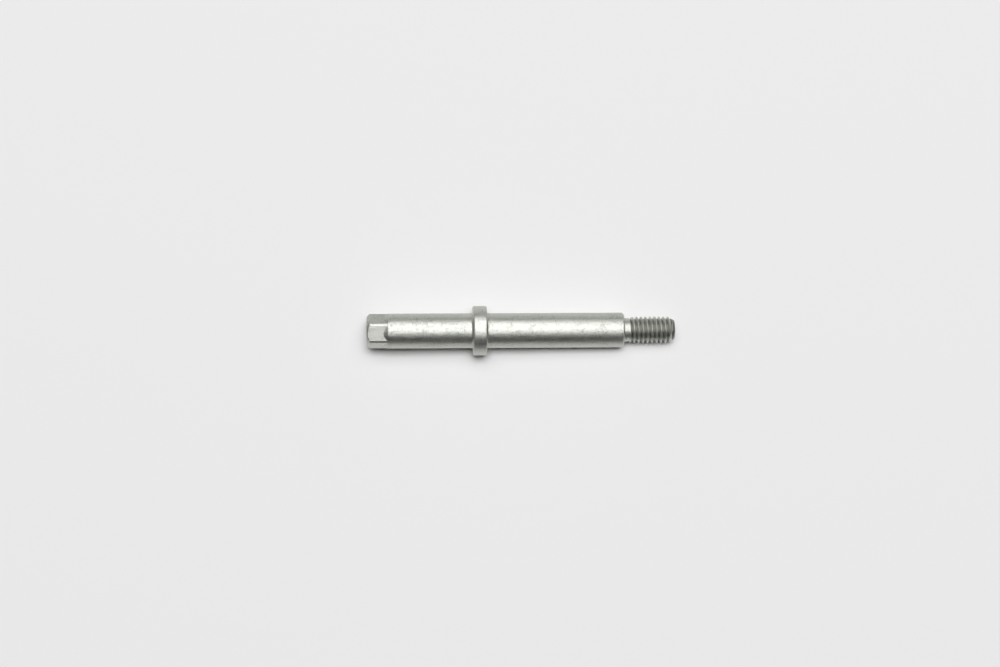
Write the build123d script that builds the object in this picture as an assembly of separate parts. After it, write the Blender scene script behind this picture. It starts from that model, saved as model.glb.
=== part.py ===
from build123d import *
from math import asin, atan2, ceil, cos, degrees, hypot, radians, sin, tan
import os

# Turned steel spindle with a hexagonal drive end, a collar, a plain journal and a threaded end.
# It is one piece. It is drawn along the X axis with the drive end face at X = 0, then laid down
# as it rests on a flat surface. Lengths are in millimetres and angles in degrees.

# Plain turned shank, and the positions along it
shank_diameter = 7.75
drive_side_length = 23.5  # drive end face to collar
collar_width = 3.1
journal_length = 30.55  # collar to the shoulder behind the thread
drive_end_chamfer = 0.7
shoulder_chamfer = 0.3

# Collar
collar_diameter = 11.0
collar_drive_round = 0.4  # rim rounding on the drive side
collar_journal_round = 0.3  # rim rounding on the journal side

# Hexagonal drive end
hex_across_flats = 6.9
hex_flat_length = 3.75  # measured along the middle of a flat
hex_runout_angle = 23  # slope of the cone where the flats run out into the shank
hex_turn = 9  # how far the upper flat is turned from level as the spindle lies

# Neck and M6 x 1 rolled thread
neck_diameter = 5.25
neck_length = 1.25
thread_crest_diameter = 5.92
thread_pitch = 1.0
thread_length = 10.1  # neck to end face, with the lead and the tapered end
thread_end_diameter = 4.2
thread_end_taper = 1.35  # length of the tapered end
thread_lead_angle = 20  # slope of the blank from the neck up to the full crest
thread_start_turn = 303  # angle about the axis at which the groove begins
groove_fade_length = 0.9  # length over which the groove deepens from the neck

# ISO metric external thread form, as shares of the pitch
groove_depth_share = 0.6134
root_flat_share = 1 / 6
crest_flat_share = 1 / 8
flank_half_angle = 30

# Angle about the axis, from +Y, of the seam in the turned faces. It lies just beside the
# underside, so that a faceted copy rests on a facet of each rim and not on a corner.
seam_turn = -93.1

# How far cutting tools reach past the metal
tool_overrun = 1.0
tool_overlap = 0.15

# Radii and stations along the axis
shank_radius = shank_diameter / 2
collar_radius = collar_diameter / 2
neck_radius = neck_diameter / 2
crest_radius = thread_crest_diameter / 2
root_radius = crest_radius - groove_depth_share * thread_pitch
collar_start = drive_side_length
collar_end = collar_start + collar_width
shoulder = collar_end + journal_length
thread_start = shoulder + neck_length
end_face = thread_start + thread_length


def step(start, end, radius):
    """Half section of one turned diameter between two stations on the axis."""
    return Pos(start, 0) * Rectangle(end - start, radius, align=(Align.MIN, Align.MIN))


def outer_corner(section, station, radius):
    """Corner of a half section at a station and radius."""
    return section.vertices().sort_by_distance((station, radius, 0))[0]


def half_section(points):
    """Closed half section through (station, radius) points."""
    return make_face(Polyline(*points, close=True))


def shank_section():
    """Plain shank from the drive end to the shoulder, chamfered at both ends."""
    section = step(0, shoulder, shank_radius)
    section = chamfer(outer_corner(section, 0, shank_radius), drive_end_chamfer)
    return chamfer(outer_corner(section, shoulder, shank_radius), shoulder_chamfer)


def collar_section():
    """Collar with its two rims rounded."""
    section = step(collar_start, collar_end, collar_radius)
    section = fillet(outer_corner(section, collar_start, collar_radius), collar_drive_round)
    return fillet(outer_corner(section, collar_end, collar_radius), collar_journal_round)


def thread_blank_section():
    """Neck, lead cone up to the crest, and the tapered blank that the groove is cut in."""
    lead_end = thread_start + (crest_radius - neck_radius) / tan(radians(thread_lead_angle))
    points = (
        (collar_end, 0),
        (collar_end, neck_radius),
        (thread_start, neck_radius),
        (lead_end, crest_radius),
        (end_face - thread_end_taper, crest_radius),
        (end_face, thread_end_diameter / 2),
        (end_face, 0),
    )
    return half_section(points)


def turned_blank():
    """The spindle as it leaves the lathe, before the flats and the thread."""
    section = shank_section() + collar_section() + thread_blank_section()
    return Rot(seam_turn, 0, 0) * revolve(section, Axis.X)


def drive_flats():
    """Metal taken off to leave the hexagon, bounded by a cone where the flats run out."""
    apothem = hex_across_flats / 2
    slope = tan(radians(hex_runout_angle))
    inner = apothem - tool_overlap
    outer = shank_radius + tool_overrun
    inner_end = hex_flat_length - tool_overlap / slope
    outer_end = hex_flat_length + (outer - apothem) / slope
    ring_section = half_section(
        (
            (-tool_overrun, inner),
            (-tool_overrun, outer),
            (outer_end, outer),
            (inner_end, inner),
        )
    )
    ring = revolve(ring_section, Axis.X)
    hexagon = RegularPolygon(apothem, 6, major_radius=False, rotation=hex_turn)
    core = extrude(Plane.YZ.offset(-2 * tool_overrun) * hexagon, outer_end + 3 * tool_overrun)
    return ring - core


def groove_section(path_start):
    """Section of the thread groove in the plane of the axis, standing out past the crest."""
    half_root = root_flat_share * thread_pitch / 2
    half_mouth = (1 - crest_flat_share / 2) * thread_pitch / 2
    height = (half_mouth - half_root) / tan(radians(flank_half_angle))
    trapezium = half_section(
        (
            (-half_root, 0),
            (half_root, 0),
            (half_mouth, height),
            (-half_mouth, height),
        )
    )
    outward = Vector(0, path_start.Y, path_start.Z).normalized()
    return Plane(path_start, x_dir=(1, 0, 0), z_dir=Vector(1, 0, 0).cross(outward)) * trapezium


def groove_path(start):
    """Right-hand helix at the thread root, one edge a turn, from a station to past the end."""
    turn_count = ceil((end_face - start) / thread_pitch) + 1
    one_turn = Edge.make_helix(thread_pitch, thread_pitch, root_radius, normal=(1, 0, 0))
    turns = [Pos(start + turn * thread_pitch, 0, 0) * one_turn for turn in range(turn_count)]
    return Wire(turns)


def fade_core(start):
    """Round core that the groove stays outside of, so that it deepens gradually from the neck."""
    fade_start = thread_start - groove_fade_length / 2
    fade_end = fade_start + groove_fade_length
    section = half_section(
        (
            (start - thread_pitch, 0),
            (start - thread_pitch, neck_radius),
            (fade_start, neck_radius),
            (fade_end, root_radius - tool_overlap),
            (fade_end, 0),
        )
    )
    return revolve(section, Axis.X)


def thread_groove():
    """Helical groove of the thread."""
    start = shoulder + thread_pitch * (1 + crest_flat_share) / 2
    path = groove_path(start)
    groove = sweep(groove_section(path @ 0), path=path, is_frenet=True)
    return Rot(thread_start_turn, 0, 0) * (groove - fade_core(start))


def rest_tilt():
    """Angle of the axis when the spindle lies on the collar's rim and the shoulder's edge."""
    run = (shoulder - shoulder_chamfer) - (collar_end - collar_journal_round)
    drop = (collar_radius - collar_journal_round) - shank_radius
    return degrees(atan2(drop, run) + asin(collar_journal_round / hypot(run, drop)))


def lay_down(solid):
    """Tilt the spindle to its rest, touching Z = 0, with the origin under its middle."""
    tilted = Rot(0, rest_tilt(), 0) * solid
    box = tilted.bounding_box()
    middle = (box.min.X + box.max.X) / 2
    touch_station = shoulder - shoulder_chamfer
    tilt = radians(rest_tilt())
    lowest = -touch_station * sin(tilt) - shank_radius * cos(tilt)
    return Pos(-middle, 0, -lowest) * tilted


def spindle():
    """The finished one-piece spindle at rest."""
    return lay_down(turned_blank() - drive_flats() - thread_groove())


os.makedirs("parts", exist_ok=True)
export_step(spindle(), "parts/spindle.step")
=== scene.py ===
import bpy
from math import acos, asin, atan2, cos, degrees, hypot, pi, radians, sin, tan
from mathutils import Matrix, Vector


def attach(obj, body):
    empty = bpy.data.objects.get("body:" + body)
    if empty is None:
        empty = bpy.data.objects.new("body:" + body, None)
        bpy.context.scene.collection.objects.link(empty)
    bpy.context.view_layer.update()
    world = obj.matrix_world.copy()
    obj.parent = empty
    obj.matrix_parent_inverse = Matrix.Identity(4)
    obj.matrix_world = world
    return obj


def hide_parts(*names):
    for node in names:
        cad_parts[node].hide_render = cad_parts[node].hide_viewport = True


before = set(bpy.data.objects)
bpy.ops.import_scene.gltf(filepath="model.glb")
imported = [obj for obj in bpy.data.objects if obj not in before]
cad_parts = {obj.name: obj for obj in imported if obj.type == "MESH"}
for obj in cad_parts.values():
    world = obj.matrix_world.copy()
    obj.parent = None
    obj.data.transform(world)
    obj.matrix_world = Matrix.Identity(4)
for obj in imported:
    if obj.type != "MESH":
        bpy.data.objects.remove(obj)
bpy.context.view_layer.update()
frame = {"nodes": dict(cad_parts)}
print("frame loaded:", ", ".join(frame["nodes"]))


def linear(hexColour):
    parts = [int(hexColour[i:i + 2], 16) / 255 for i in (1, 3, 5)]
    return [p / 12.92 if p <= 0.04045 else ((p + 0.055) / 1.055) ** 2.4 for p in parts] + [1.0]


def add(tree, kind, links=None, **settings):  # one node: its settings, and a value or a link for each socket
    node = tree.nodes.new(kind)
    for name, value in settings.items():
        setattr(node, name, value)
    for socket, source in (links or {}).items():
        if isinstance(source, bpy.types.NodeSocket):
            tree.links.new(source, node.inputs[socket])
        else:
            node.inputs[socket].default_value = source
    return node.outputs


# ---- spindle ----

spindleSizes = {  # millimetres and degrees, along the axis from the hexagonal end
    "shankRadius": 3.875,
    "driveLength": 23.5,
    "collarEnd": 26.6,
    "shoulder": 57.15,
    "threadStart": 58.4,
    "endFace": 68.5,
    "driveChamfer": 0.7,
    "shoulderChamfer": 0.3,
    "collarRadius": 5.5,
    "collarDriveRound": 0.4,
    "collarJournalRound": 0.3,
    "rootRound": 0.3,  # concave corners beside the collar
    "cornerRadius": 3.84,  # turned radius left on the six corners of the hexagon
    "apothem": 3.45,
    "flatLength": 3.75,
    "runoutAngle": 23.0,
    "hexTurn": 9.0,
    "neckRadius": 2.625,
    "crestRadius": 2.96,
    "pitch": 1.0,
    "grooveDepth": 0.6134,
    "endRadius": 2.1,
    "endTaper": 1.35,
    "leadAngle": 20.0,
    "grooveStart": 56.6208,  # a station on the groove's middle at angle 0
    "fadeStart": 57.95,
    "fadeEnd": 58.85,
    "edgeRound": 0.06,  # small rounding that tumbling leaves on a sharp edge
}


def ringsAlong(corners, steps=4, support=0.04):  # corners are (station, radius, rounding)
    rings = [corners[0][:2]]
    for before, corner, after in zip(corners, corners[1:], corners[2:]):
        here = Vector(corner[:2])
        back = (Vector(before[:2]) - here).normalized()
        ahead = (Vector(after[:2]) - here).normalized()
        bend = back.angle(-ahead)
        reach = corner[2] * tan(bend / 2)
        if reach == 0:
            rings += [here + back * support, here, here + ahead * support]
            continue
        start, end = here + back * reach, here + ahead * reach
        centre = here + (back + ahead).normalized() * corner[2] / cos(bend / 2)
        rings.append(start + back * support)
        for step in range(steps + 1):
            spoke = (start - centre).lerp(end - centre, step / steps).normalized()
            rings.append(centre + spoke * corner[2])
        rings.append(end + ahead * support)
    return [tuple(ring) for ring in rings] + [corners[-1][:2]]


def ringList(s):  # (station, radius, zone): zone 1 has steps over the hexagon, zone 2 stations before winding
    edge, r, c = s["edgeRound"], s["shankRadius"], s["shankRadius"] - s["driveChamfer"]
    fullRound = s["flatLength"] + (r - s["apothem"]) / tan(radians(s["runoutAngle"]))
    face = ringsAlong([(0, 0, 0), (0, c, edge), (s["driveChamfer"], r, 0)])[:-1]
    rings = [(x, y, 0) for x, y in face]
    hexSteps = (0.55, 0.93, 1, 1.008, 1.05, 1.3, 1.6, 1.9, 1.98, 2, 2.06, 2.3, 2.6, 2.9, 3)
    rings += [(step, 0, 1) for step in hexSteps]
    body = ringsAlong([
        (fullRound + 0.05, r, 0),
        (s["driveLength"], r, s["rootRound"]),
        (s["driveLength"], s["collarRadius"], s["collarDriveRound"]),
        (s["collarEnd"], s["collarRadius"], s["collarJournalRound"]),
        (s["collarEnd"], r, s["rootRound"]),
        (s["shoulder"] - s["shoulderChamfer"], r, edge),
        (s["shoulder"], r - s["shoulderChamfer"], edge),
        (s["shoulder"], s["neckRadius"], 0),
        (s["shoulder"] + 0.2, s["neckRadius"], 0),
    ])
    rings += [(x, y, 0) for x, y in body]
    threadFrom, threadTo = s["shoulder"] + 0.35, s["endFace"] - s["edgeRound"]
    offsets = (0, 0.04, 0.08, 0.12, 0.18, 0.26, 0.34, 0.405, 0.43, 0.445)
    shares = sorted(offsets + tuple(1 - o for o in offsets[1:]) + (0.5,))
    stations = [s["grooveStart"] - 2 + turn + share for turn in range(16) for share in shares]
    inside = [x for x in stations if threadFrom - s["pitch"] < x < threadTo]
    rings += [(x, 0, 2) for x in [threadFrom - s["pitch"]] + inside + [threadTo]]
    slope = (s["crestRadius"] - s["endRadius"]) / s["endTaper"]
    end = ringsAlong([
        (threadTo, s["endRadius"] + edge * slope, 0),
        (s["endFace"], s["endRadius"], edge),
        (s["endFace"], 0, 0),
    ])
    return rings + [(x, y, 0) for x, y in end[2:]]


def spokeList(s):  # angles round the axis, closer together at the edges of the six flats
    edge = degrees(acos(s["apothem"] / s["cornerRadius"]))
    flat = [-edge + 2 * edge * i / 28 for i in range(29)]
    local = flat[:1] + [-edge + 0.5] + flat[1:-1] + [edge - 0.5, edge, edge + 0.5, 30, 60 - edge - 0.5]
    start = 30 + s["hexTurn"]
    angles = sorted((start + 60 * side + a) % 360 for side in range(6) for a in local)
    return [radians(a) for a in [0] + [a for a in angles if 0.05 < a < 359.95] + [360]]


spindleInputs = (
    "shankRadius", "driveChamfer", "cornerRadius", "apothem", "flatLength", "runoutAngle", "hexTurn",
    "neckRadius", "crestRadius", "pitch", "grooveDepth", "grooveStart", "fadeStart", "fadeEnd",
    "threadStart", "leadAngle", "endTaper", "endRadius", "endFace", "threadFrom", "threadTo",
)


def spindleTree(restTilt, restPlace):
    tree = bpy.data.node_groups.new("turnedSpindle", "GeometryNodeTree")
    tree.is_modifier = True
    tree.interface.new_socket("Geometry", in_out="INPUT", socket_type="NodeSocketGeometry")
    tree.interface.new_socket("Geometry", in_out="OUTPUT", socket_type="NodeSocketGeometry")
    for name in ("rings", "spokes"):
        tree.interface.new_socket(name, in_out="INPUT", socket_type="NodeSocketInt")
    for name in spindleInputs:
        tree.interface.new_socket(name, in_out="INPUT", socket_type="NodeSocketFloat")
    tree.interface.new_socket("material", in_out="INPUT", socket_type="NodeSocketMaterial")
    given = add(tree, "NodeGroupInput")
    maths, ranged, sampled = "ShaderNodeMath", "ShaderNodeMapRange", "GeometryNodeSampleIndex"

    # each vertex of the grid reads its ring and its spoke from the layout's points
    index = add(tree, "GeometryNodeInputIndex")[0]
    place = add(tree, "GeometryNodeInputPosition")[0]
    row = add(tree, "FunctionNodeIntegerMath", {0: index, 1: given["spokes"]}, operation="DIVIDE_FLOOR")[0]
    column = add(tree, "FunctionNodeIntegerMath", {0: index, 1: given["spokes"]}, operation="MODULO")[0]
    spokeIndex = add(tree, "FunctionNodeIntegerMath", {0: column, 1: given["rings"]}, operation="ADD")[0]
    layout = given["Geometry"]
    ring = add(tree, sampled, {"Geometry": layout, "Index": row}, data_type="FLOAT_VECTOR")
    tree.links.new(place, ring[0].node.inputs["Value"])
    spoke = add(tree, sampled, {"Geometry": layout, "Index": spokeIndex}, data_type="FLOAT_VECTOR")
    tree.links.new(place, spoke[0].node.inputs["Value"])
    ringParts = add(tree, "ShaderNodeSeparateXYZ", {0: ring[0]})
    angle = add(tree, "ShaderNodeSeparateXYZ", {0: spoke[0]})[0]
    step, radius, zone = ringParts[0], ringParts[1], ringParts[2]

    # hexagon: chamfer, flat, and the cone where the flat runs out
    firstFlat = add(tree, maths, {0: given["hexTurn"], 1: 30.0}, operation="ADD")[0]
    turned = add(tree, maths, {0: firstFlat}, operation="RADIANS")[0]
    offFlat = add(tree, maths, {0: angle, 1: turned}, operation="SUBTRACT")[0]
    fromFlat = add(tree, maths, {0: offFlat, 1: radians(30), 2: -radians(30)}, operation="WRAP")[0]
    cosine = add(tree, maths, {0: fromFlat}, operation="COSINE")[0]
    flatRadius = add(tree, maths, {0: given["apothem"], 1: cosine}, operation="DIVIDE")[0]
    hexRadius = add(tree, maths, {0: flatRadius, 1: given["cornerRadius"]}, operation="MINIMUM")[0]
    shank = given["shankRadius"]
    faceRadius = add(tree, maths, {0: shank, 1: given["driveChamfer"]}, operation="SUBTRACT")[0]
    chamferEnd = add(tree, maths, {0: hexRadius, 1: faceRadius}, operation="SUBTRACT")[0]
    runout = add(tree, maths, {0: given["runoutAngle"]}, operation="RADIANS")[0]
    slope = add(tree, maths, {0: runout}, operation="TANGENT")[0]
    rise = add(tree, maths, {0: hexRadius, 1: given["apothem"]}, operation="SUBTRACT")[0]
    pastFlat = add(tree, maths, {0: rise, 1: slope}, operation="DIVIDE")[0]
    flatEnd = add(tree, maths, {0: pastFlat, 1: given["flatLength"]}, operation="ADD")[0]
    fullRise = add(tree, maths, {0: shank, 1: given["apothem"]}, operation="SUBTRACT")[0]
    coneLength = add(tree, maths, {0: fullRise, 1: slope}, operation="DIVIDE")[0]
    roundStart = add(tree, maths, {0: coneLength, 1: given["flatLength"]}, operation="ADD")[0]
    alongChamfer = add(tree, ranged, {0: step, 1: 0.0, 2: 1.0, 3: 0.0, 4: chamferEnd})[0]
    alongFlat = add(tree, ranged, {0: step, 1: 1.0, 2: 2.0, 3: alongChamfer, 4: flatEnd})[0]
    alongCone = add(tree, ranged, {0: step, 1: 2.0, 2: 3.0, 3: alongFlat, 4: roundStart})[0]
    upChamfer = add(tree, ranged, {0: step, 1: 0.0, 2: 1.0, 3: faceRadius, 4: hexRadius})[0]
    upCone = add(tree, ranged, {0: step, 1: 2.0, 2: 3.0, 3: upChamfer, 4: shank})[0]
    hexPoint = add(tree, "ShaderNodeCombineXYZ", {0: alongCone, 1: upCone})[0]

    # thread: each ring winds forward by one pitch a turn, and its radius is the groove's or the blank's
    crest, neck, pitch = given["crestRadius"], given["neckRadius"], given["pitch"]
    turns = add(tree, maths, {0: angle, 1: radians(360)}, operation="DIVIDE")[0]
    shift = add(tree, maths, {0: turns, 1: pitch}, operation="MULTIPLY")[0]
    wound = add(tree, maths, {0: step, 1: shift}, operation="ADD")[0]
    station = add(tree, "ShaderNodeClamp", {0: wound, 1: given["threadFrom"], 2: given["threadTo"]})[0]
    unshifted = add(tree, maths, {0: station, 1: shift}, operation="SUBTRACT")[0]
    unwound = add(tree, maths, {0: unshifted, 1: given["grooveStart"]}, operation="SUBTRACT")[0]
    halfPitch = add(tree, maths, {0: pitch, 1: 0.5}, operation="MULTIPLY")[0]
    minusHalf = add(tree, maths, {0: pitch, 1: -0.5}, operation="MULTIPLY")[0]
    offGroove = add(tree, maths, {0: unwound, 1: halfPitch, 2: minusHalf}, operation="WRAP")[0]
    fromGroove = add(tree, maths, {0: offGroove}, operation="ABSOLUTE")[0]
    halfRoot = add(tree, maths, {0: pitch, 1: 12.0}, operation="DIVIDE")[0]  # the root flat is a sixth
    fromRoot = add(tree, maths, {0: fromGroove, 1: halfRoot}, operation="SUBTRACT")[0]
    flank = add(tree, maths, {0: fromRoot, 1: tan(radians(30))}, operation="DIVIDE")[0]
    roundedFlank = add(tree, maths, {0: flank, 1: 0.0, 2: 0.08}, operation="SMOOTH_MAX")[0]
    depth = add(tree, maths, {0: given["grooveDepth"], 1: pitch}, operation="MULTIPLY")[0]
    rootRadius = add(tree, maths, {0: crest, 1: depth}, operation="SUBTRACT")[0]
    groove = add(tree, maths, {0: rootRadius, 1: roundedFlank}, operation="ADD")[0]
    fadeTo = add(tree, maths, {0: rootRadius, 1: 0.15}, operation="SUBTRACT")[0]
    fade = add(tree, ranged, {0: station, 1: given["fadeStart"], 2: given["fadeEnd"], 3: neck, 4: fadeTo})[0]
    fadedGroove = add(tree, maths, {0: groove, 1: fade, 2: 0.04}, operation="SMOOTH_MAX")[0]
    leadTurn = add(tree, maths, {0: given["leadAngle"]}, operation="RADIANS")[0]
    lead = add(tree, maths, {0: leadTurn}, operation="TANGENT")[0]
    leadRise = add(tree, maths, {0: crest, 1: neck}, operation="SUBTRACT")[0]
    leadLength = add(tree, maths, {0: leadRise, 1: lead}, operation="DIVIDE")[0]
    leadEnd = add(tree, maths, {0: leadLength, 1: given["threadStart"]}, operation="ADD")[0]
    upLead = add(tree, ranged, {0: station, 1: given["threadStart"], 2: leadEnd, 3: neck, 4: crest})[0]
    taperStart = add(tree, maths, {0: given["endFace"], 1: given["endTaper"]}, operation="SUBTRACT")[0]
    taper = {0: station, 1: taperStart, 2: given["endFace"], 3: upLead, 4: given["endRadius"]}
    blank = add(tree, ranged, taper)[0]
    threadRadius = add(tree, maths, {0: blank, 1: fadedGroove}, operation="MINIMUM")[0]
    threadPoint = add(tree, "ShaderNodeCombineXYZ", {0: station, 1: threadRadius})[0]

    # the ring's zone picks the shape, and the spoke's angle carries it round the axis
    plainPoint = add(tree, "ShaderNodeCombineXYZ", {0: step, 1: radius})[0]
    onHexagon = add(tree, maths, {0: zone, 1: 0.5}, operation="GREATER_THAN")[0]
    onThread = add(tree, maths, {0: zone, 1: 1.5}, operation="GREATER_THAN")[0]
    shaped = plainPoint
    for chosen, other in ((onHexagon, hexPoint), (onThread, threadPoint)):
        choice = {"Switch": chosen, "False": shaped, "True": other}
        shaped = add(tree, "GeometryNodeSwitch", choice, input_type="VECTOR")[0]
    shapedParts = add(tree, "ShaderNodeSeparateXYZ", {0: shaped})
    sideways = add(tree, maths, {0: angle}, operation="COSINE")[0]
    upward = add(tree, maths, {0: angle}, operation="SINE")[0]
    across = add(tree, maths, {0: shapedParts[1], 1: sideways}, operation="MULTIPLY")[0]
    up = add(tree, maths, {0: shapedParts[1], 1: upward}, operation="MULTIPLY")[0]
    point = add(tree, "ShaderNodeCombineXYZ", {0: shapedParts[0], 1: across, 2: up})[0]
    grid = add(tree, "GeometryNodeMeshGrid", {"Vertices X": given["rings"], "Vertices Y": given["spokes"]})[0]
    spun = add(tree, "GeometryNodeSetPosition", {"Geometry": grid, "Position": point})[0]
    closed = add(tree, "GeometryNodeMergeByDistance", {"Geometry": spun, "Distance": 0.001})[0]
    outward = add(tree, "GeometryNodeFlipFaces", {"Mesh": closed})[0]
    smooth = add(tree, "GeometryNodeSetShadeSmooth", {"Geometry": outward})[0]
    rest = {"Translation": restPlace, "Rotation": (0, restTilt, 0), "Scale": (0.001, 0.001, 0.001)}
    laid = add(tree, "GeometryNodeTransform", {"Geometry": smooth, **rest})[0]
    real = add(tree, "GeometryNodeRealizeInstances", {"Geometry": laid})[0]
    finished = add(tree, "GeometryNodeSetMaterial", {"Geometry": real, "Material": given["material"]})[0]
    add(tree, "NodeGroupOutput", {"Geometry": finished})
    return tree


def restOf(s):  # it lies on the collar's rim and the shoulder's edge: its tilt, and its move in metres
    touch = s["shoulder"] - s["shoulderChamfer"]
    run = touch - (s["collarEnd"] - s["collarJournalRound"])
    drop = (s["collarRadius"] - s["collarJournalRound"]) - s["shankRadius"]
    tilt = atan2(drop, run) + asin(s["collarJournalRound"] / hypot(run, drop))
    lowest = -touch * sin(tilt) - s["shankRadius"] * cos(tilt)
    low = -(s["shankRadius"] - s["driveChamfer"]) * sin(tilt)
    high = s["endFace"] * cos(tilt) + s["endRadius"] * sin(tilt)
    return tilt, (-(low + high) / 2000, 0, -lowest / 1000)


def makeSpindle(s, material):
    rings, spokes = ringList(s), spokeList(s)
    layout = bpy.data.meshes.new("spindleLayout")
    layout.from_pydata(rings + [(a, 0, 0) for a in spokes], [], [])
    maker = bpy.data.objects.new("spindleMaker", layout)
    bpy.context.scene.collection.objects.link(maker)
    tree = spindleTree(*restOf(s))
    modifier = maker.modifiers.new("turnedSpindle", "NODES")
    modifier.node_group = tree
    values = dict(s, rings=len(rings), spokes=len(spokes), material=material)
    values["threadFrom"], values["threadTo"] = s["shoulder"] + 0.35, s["endFace"] - s["edgeRound"]
    for item in tree.interface.items_tree:
        if item.in_out == "INPUT" and item.name in values:
            modifier[item.identifier] = values[item.name]
    solid = bpy.data.meshes.new_from_object(maker.evaluated_get(bpy.context.evaluated_depsgraph_get()))
    bpy.data.objects.remove(maker)
    solid.materials.clear()
    solid.materials.append(material)
    spindle = bpy.data.objects.new("turnedSpindle", solid)
    bpy.context.scene.collection.objects.link(spindle)
    print("spindle made:", len(solid.vertices), "vertices")
    return spindle


steelSizes = {  # millimetres, degrees and shares
    "mottleSize": 0.8,  # soft unevenness left by tumbling
    "mottleHeight": 0.06,
    "clusterSize": 4.0,  # patches where the marks lie closer together
    "pitSize": 0.26,
    "pitDepth": 0.018,
    "pitFrom": 0.62,  # noise level at which a pit begins
    "pitFull": 0.71,
    "markLength": 1.1,  # short rubs from other parts in the barrel
    "markWidth": 0.17,
    "markDepth": 0.015,
    "markFrom": 0.72,
    "markFull": 0.80,
    "rubReach": 0.6,  # how far below the shank's surface the rubbed marks reach
    "markTurns": (38, -47, 81),
    "polished": "#C9CBC5",
    "dull": "#C1C3BB",
    # colour of the marks' stain, and of the painted shade in the thread's groove
    "markAndShadeColour": "#64655F",
    "markStain": 0.38,
    "grooveShade": 0.75,  # painted shade down in the thread's groove, darker toward the root
    "grooveShadeFull": 2.35,  # radius up to which the painted groove shade is full
    "grooveShadeEnd": 2.54,
    "smoothest": 0.40,
    "roughest": 0.48,
}


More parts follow.
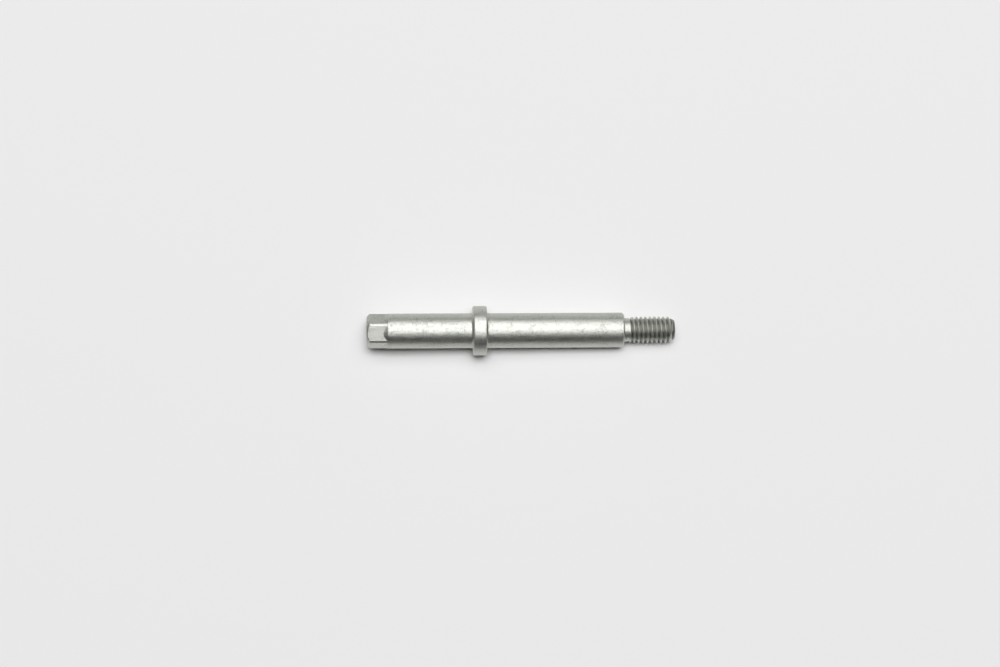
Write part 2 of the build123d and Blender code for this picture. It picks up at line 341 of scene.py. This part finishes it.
def satinSteel(s, tilt, place):  # tumbled, plated steel: a soft sheen broken by pits and short rubbed marks, with painted shade in the thread's groove
    material = bpy.data.materials.new("tumbledPlatedSteel")
    material.use_nodes = True
    tree = material.node_tree
    tree.nodes.clear()
    maths, vectors, ranged = "ShaderNodeMath", "ShaderNodeVectorMath", "ShaderNodeMapRange"
    noise, rotate, mixed = "ShaderNodeTexNoise", "ShaderNodeVectorRotate", "ShaderNodeMix"
    here = add(tree, "ShaderNodeTexCoord")["Object"]
    solid = add(tree, vectors, {0: here, "Scale": 1000.0}, operation="SCALE")[0]

    # the surface unrolled: along the axis, and round it
    fromDrive = add(tree, vectors, {0: here, 1: place}, operation="SUBTRACT")[0]
    level = add(tree, rotate, {"Vector": fromDrive, "Angle": -tilt}, rotation_type="Y_AXIS")[0]
    inMillimetres = add(tree, vectors, {0: level, "Scale": 1000.0}, operation="SCALE")[0]
    parts = add(tree, "ShaderNodeSeparateXYZ", {0: inMillimetres})
    turn = add(tree, maths, {0: parts[1], 1: parts[2]}, operation="ARCTAN2")[0]
    around = add(tree, maths, {0: turn, 1: spindleSizes["shankRadius"]}, operation="MULTIPLY")[0]
    unrolled = add(tree, "ShaderNodeCombineXYZ", {0: parts[0], 1: around})[0]

    uneven = {"Vector": solid, "Scale": 1 / s["mottleSize"], "Detail": 3.0, "Roughness": 0.62}
    mottle = add(tree, noise, uneven)[0]
    cluster = add(tree, noise, {"Vector": solid, "Scale": 1 / s["clusterSize"], "Detail": 1.0})[0]
    crowded = add(tree, ranged, {0: cluster, 1: 0.35, 2: 0.65, 3: 0.05, 4: -0.03})[0]
    pitNoise = add(tree, noise, {"Vector": solid, "Scale": 1 / s["pitSize"], "Detail": 1.0})[0]
    pitLevel = add(tree, maths, {0: pitNoise, 1: crowded}, operation="SUBTRACT")[0]
    pits = add(tree, ranged, {0: pitLevel, 1: s["pitFrom"], 2: s["pitFull"]})[0]
    offAxis = add(tree, "ShaderNodeCombineXYZ", {1: parts[1], 2: parts[2]})[0]
    radius = add(tree, vectors, {0: offAxis}, operation="LENGTH")[1]
    marks = 0.0
    for order, degreesTurned in enumerate(s["markTurns"]):
        way = {"Vector": unrolled, "Angle": radians(degreesTurned)}
        turned = add(tree, rotate, way, rotation_type="Z_AXIS")[0]
        stretch = (1 / s["markLength"], 1 / s["markWidth"], 1)
        drawn = add(tree, vectors, {0: turned, 1: stretch}, operation="MULTIPLY")[0]
        apart = (0, 0, 7.3 * order)  # so that each layer reads another part of the noise
        moved = add(tree, vectors, {0: drawn, 1: apart}, operation="ADD")[0]
        strokes = add(tree, noise, {"Vector": moved, "Scale": 1.0, "Detail": 0.0})[0]
        strokeLevel = add(tree, maths, {0: strokes, 1: crowded}, operation="SUBTRACT")[0]
        layer = add(tree, ranged, {0: strokeLevel, 1: s["markFrom"], 2: s["markFull"]})[0]
        marks = add(tree, maths, {0: layer, 1: marks}, operation="MAXIMUM")[0]

    rubbed = spindleSizes["shankRadius"] - s["rubReach"]
    outside = add(tree, maths, {0: radius, 1: rubbed}, operation="GREATER_THAN")[0]
    marks = add(tree, maths, {0: marks, 1: outside}, operation="MULTIPLY")[0]

    raised = add(tree, maths, {0: mottle, 1: s["mottleHeight"]}, operation="MULTIPLY")[0]
    pitted = add(tree, maths, {0: pits, 1: -s["pitDepth"], 2: raised}, operation="MULTIPLY_ADD")[0]
    height = add(tree, maths, {0: marks, 1: -s["markDepth"], 2: pitted}, operation="MULTIPLY_ADD")[0]
    normal = add(tree, "ShaderNodeBump", {"Height": height, "Distance": 0.001, "Strength": 1.0})[0]

    dullness = add(tree, ranged, {0: mottle, 1: 0.35, 2: 0.65, 3: 1.0, 4: 0.0})[0]
    polished, dull, markAndShadeColour = linear(s["polished"]), linear(s["dull"]), linear(s["markAndShadeColour"])
    sheen = add(tree, mixed, {0: dullness, 6: polished, 7: dull}, data_type="RGBA")[2]
    worn = add(tree, maths, {0: pits, 1: marks}, operation="MAXIMUM")[0]
    marked = add(tree, maths, {0: worn, 1: s["markStain"]}, operation="MULTIPLY")[0]
    # painted shade: the thread's groove darkens toward its root, mixed in with the marks' stain
    grooveShadeLevel = add(tree, ranged, {0: radius, 1: s["grooveShadeFull"], 2: s["grooveShadeEnd"], 3: s["grooveShade"], 4: 0.0})[0]
    threaded = add(tree, maths, {0: parts[0], 1: spindleSizes["threadStart"]}, operation="GREATER_THAN")[0]
    shadedGroove = add(tree, maths, {0: grooveShadeLevel, 1: threaded}, operation="MULTIPLY")[0]
    stainAndShade = add(tree, maths, {0: marked, 1: shadedGroove}, operation="MAXIMUM")[0]
    colour = add(tree, mixed, {0: stainAndShade, 6: sheen, 7: markAndShadeColour}, data_type="RGBA")[2]
    rough = add(tree, ranged, {0: mottle, 1: 0.3, 2: 0.7, 3: s["smoothest"], 4: s["roughest"]})[0]
    surface = {"Base Color": colour, "Metallic": 1.0, "Roughness": rough, "Normal": normal}
    shader = add(tree, "ShaderNodeBsdfPrincipled", surface)[0]
    add(tree, "ShaderNodeOutputMaterial", {"Surface": shader})
    return material


steel = satinSteel(steelSizes, *restOf(spindleSizes))
spindle = makeSpindle(spindleSizes, steel)
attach(spindle, "root")
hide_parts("spindle")


# ---- table, lamps and camera ----

def tableTop():
    mesh = bpy.data.meshes.new("tableTop")
    mesh.from_pydata([(-2, -2, 0), (2, -2, 0), (2, 2, 0), (-2, 2, 0)], [], [(0, 1, 2, 3)])
    table = bpy.data.objects.new("tableTop", mesh)
    bpy.context.scene.collection.objects.link(table)
    material = bpy.data.materials.new("mattWhiteBoard")
    material.use_nodes = True
    shader = material.node_tree.nodes["Principled BSDF"]
    shader.inputs["Base Color"].default_value = linear("#F0F0F0")
    shader.inputs["Roughness"].default_value = 0.9
    shader.inputs["Specular IOR Level"].default_value = 0.0
    mesh.materials.append(material)
    return table


def softBox(name, place, size, power):
    light = bpy.data.lights.new(name, "AREA")
    light.shape = "RECTANGLE"
    light.size, light.size_y = size
    light.energy = power
    lamp = bpy.data.objects.new(name, light)
    lamp.location = place
    lamp.rotation_euler = (-Vector(place)).to_track_quat("-Z", "Y").to_euler()
    bpy.context.scene.collection.objects.link(lamp)
    return lamp


def boxAt(name, side, turn, distance, spread, radiance):  # degrees from overhead, toward +Y and toward +X
    place = Vector((tan(radians(turn)), tan(radians(side)), 1)).normalized() * distance
    size = [2 * distance * tan(radians(half)) for half in spread]
    return softBox(name, place, size, radiance * pi * size[0] * size[1])


lampSizes = {  # degrees, metres and radiance; a box is its side and its half widths along X and Y
    "boardDistance": 3.0,
    "boardTurn": 2,
    "boardBoxes": {"keyLamp": (10, (9, 7.2), 21.1), "keyHalo": (16, (22, 15), 3.7)},
    "metalDistance": 1.0,
    "metalRadiance": 0.94,
    "metalBoxes": {
        "wideBox": (20.5, (28, 44.5)),
        "middleBox": (21.5, (28, 38.5)),
        "innerBox": (21, (28, 29)),
    },
    "room": "#141414",
}

tableTop()
for name, (side, spread, radiance) in lampSizes["boardBoxes"].items():  # these light the board and its shadow
    lamp = boxAt(name, side, lampSizes["boardTurn"], lampSizes["boardDistance"], spread, radiance)
    lamp.visible_glossy = False
for name, (side, spread) in lampSizes["metalBoxes"].items():  # the large soft box that the metal mirrors
    lamp = boxAt(name, side, 0, lampSizes["metalDistance"], spread, lampSizes["metalRadiance"])
    lamp.visible_diffuse = False

world = bpy.data.worlds.new("studio")
bpy.context.scene.world = world
world.use_nodes = True
world.node_tree.nodes.clear()
room = {"Color": linear(lampSizes["room"]), "Strength": 1.0}
background = add(world.node_tree, "ShaderNodeBackground", room)[0]
add(world.node_tree, "ShaderNodeOutputWorld", {"Surface": background})

cameraSizes = {  # millimetres and degrees
    "place": (-4.61, -0.66, 450.0),
    "roll": -0.29,
    "lens": 71.93,
}
lens = bpy.data.cameras.new("topCamera")
lens.lens = cameraSizes["lens"]
lens.sensor_width = 36
lens.clip_start = 0.01
camera = bpy.data.objects.new("topCamera", lens)
camera.location = Vector(cameraSizes["place"]) / 1000
camera.rotation_euler = (0, 0, radians(cameraSizes["roll"]))
bpy.context.scene.collection.objects.link(camera)
bpy.context.scene.camera = camera
bpy.context.scene.view_settings.view_transform = "Standard"

print("stage set")
